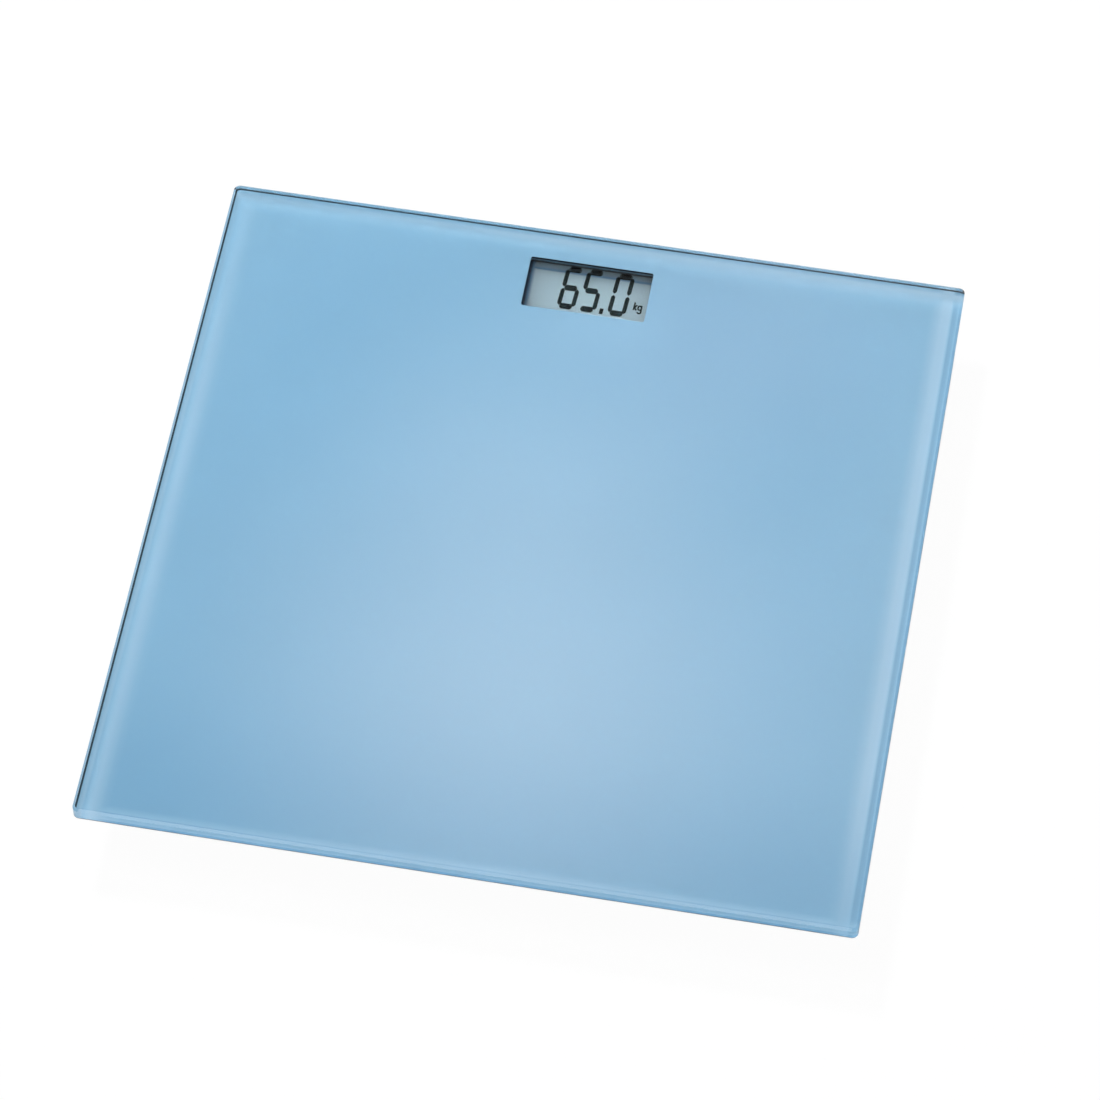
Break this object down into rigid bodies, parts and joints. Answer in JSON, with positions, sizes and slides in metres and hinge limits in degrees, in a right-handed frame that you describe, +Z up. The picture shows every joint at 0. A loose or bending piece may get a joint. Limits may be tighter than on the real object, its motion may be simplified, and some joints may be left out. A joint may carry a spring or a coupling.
{
  "type": "electronic personal scale",
  "caption": "Slim square glass platform on load-cell feet, printed light blue on its back, with a small window over a liquid crystal display near one edge.",
  "frame": {"origin": "centre of the footprint, on the floor that the rubber pads stand on", "axes": "+Z up, +Y towards the display edge, +X to the right of a user who stands on the platform and looks at the display"},
  "size_m": [0.3, 0.3, 0.022],
  "materials": {
    "clear_glass": "polished, ground rims",
    "colour_ink": "back-printed ink seen through glass",
    "lcd_glass": "polished",
    "lcd_figures": "switched liquid crystal",
    "lcd_ground": "satin reflective polarizer",
    "lcd_seal_epoxy": "cured epoxy",
    "dark_plastic": "fine spark texture",
    "foam_tape": "closed-cell foam",
    "elastomer": "soft silicone",
    "board": "solder mask",
    "steel": "stamped, satin",
    "black_epoxy": "potting",
    "chip_ceramic": "fired ceramic",
    "solder": "bright solder",
    "contact_metal": "plated spring steel",
    "pale_plastic": "fine moulded grain, light grey",
    "grey_plastic": "fine moulded grain, mid grey",
    "gauge_coat": "silicone coat",
    "pad_rubber": "soft, non-slip",
    "wire_insulation": "extruded insulation"
  },
  "bodies": {
    "platform": {"glass_platform": "clear_glass", "colour_film": "colour_ink", "lcd_bezel": "dark_plastic", "lcd_polarizer": "lcd_glass", "lcd_front_glass": "lcd_glass", "lcd_segments": "lcd_figures", "lcd_seal": "lcd_seal_epoxy", "lcd_rear_glass": "lcd_glass", "lcd_reflector": "lcd_ground", "lcd_tape": "foam_tape", "zebra_connector": "elastomer", "module_housing": "pale_plastic", "module_gasket": "foam_tape", "circuit_board": "board", "board_screws": "steel", "controller_blob": "black_epoxy", "board_capacitors": "chip_ceramic", "board_resistors": "black_epoxy", "solder_joints": "solder", "tact_switch": "dark_plastic", "battery_cell": "steel", "battery_contact_minus": "contact_metal", "battery_contact_plus": "contact_metal", "foot_shell_front_left": "pale_plastic", "foot_shell_front_right": "pale_plastic", "foot_shell_rear_left": "pale_plastic", "foot_shell_rear_right": "pale_plastic", "load_cell_front_left": "steel", "load_cell_front_right": "steel", "load_cell_rear_left": "steel", "load_cell_rear_right": "steel", "strain_gauge_front_left": "gauge_coat", "strain_gauge_front_right": "gauge_coat", "strain_gauge_rear_left": "gauge_coat", "strain_gauge_rear_right": "gauge_coat", "sensor_wires_front_left": "wire_insulation", "sensor_wires_front_right": "wire_insulation", "sensor_wires_rear_left": "wire_insulation", "sensor_wires_rear_right": "wire_insulation", "wire_duct_front_left": "pale_plastic", "wire_duct_front_right": "pale_plastic", "wire_duct_rear_left": "pale_plastic", "wire_duct_rear_right": "pale_plastic", "foot_tapes": "foam_tape", "duct_tapes": "foam_tape"},
    "unit_button": {"switch_plunger": "dark_plastic", "unit_button": "dark_plastic"},
    "battery_door": {"battery_door": "pale_plastic"},
    "foot_front_left": {"foot_cap_front_left": "grey_plastic", "foot_pad_front_left": "pad_rubber"},
    "foot_front_right": {"foot_cap_front_right": "grey_plastic", "foot_pad_front_right": "pad_rubber"},
    "foot_rear_left": {"foot_cap_rear_left": "grey_plastic", "foot_pad_rear_left": "pad_rubber"},
    "foot_rear_right": {"foot_cap_rear_right": "grey_plastic", "foot_pad_rear_right": "pad_rubber"}
  },
  "joints": [
    {"name": "foot_travel_front_left", "type": "slide", "parent": "platform", "child": "foot_front_left", "axis": [0, 0, 1], "range_m": [0, 0.0005], "stiffness_N_per_m": 20000, "springref_m": -0.0003},
    {"name": "foot_travel_front_right", "type": "slide", "parent": "platform", "child": "foot_front_right", "axis": [0, 0, 1], "range_m": [0, 0.0005], "stiffness_N_per_m": 20000, "springref_m": -0.0003},
    {"name": "foot_travel_rear_left", "type": "slide", "parent": "platform", "child": "foot_rear_left", "axis": [0, 0, 1], "range_m": [0, 0.0005], "stiffness_N_per_m": 20000, "springref_m": -0.0003},
    {"name": "foot_travel_rear_right", "type": "slide", "parent": "platform", "child": "foot_rear_right", "axis": [0, 0, 1], "range_m": [0, 0.0005], "stiffness_N_per_m": 20000, "springref_m": -0.0003},
    {"name": "unit_button_press", "type": "slide", "parent": "platform", "child": "unit_button", "axis": [0, 0, 1], "range_m": [0, 0.0004], "stiffness_N_per_m": 4000},
    {"name": "battery_door_slide", "type": "slide", "parent": "platform", "child": "battery_door", "axis": [0, -1, 0], "range_m": [0, 0.028]}
  ]
}
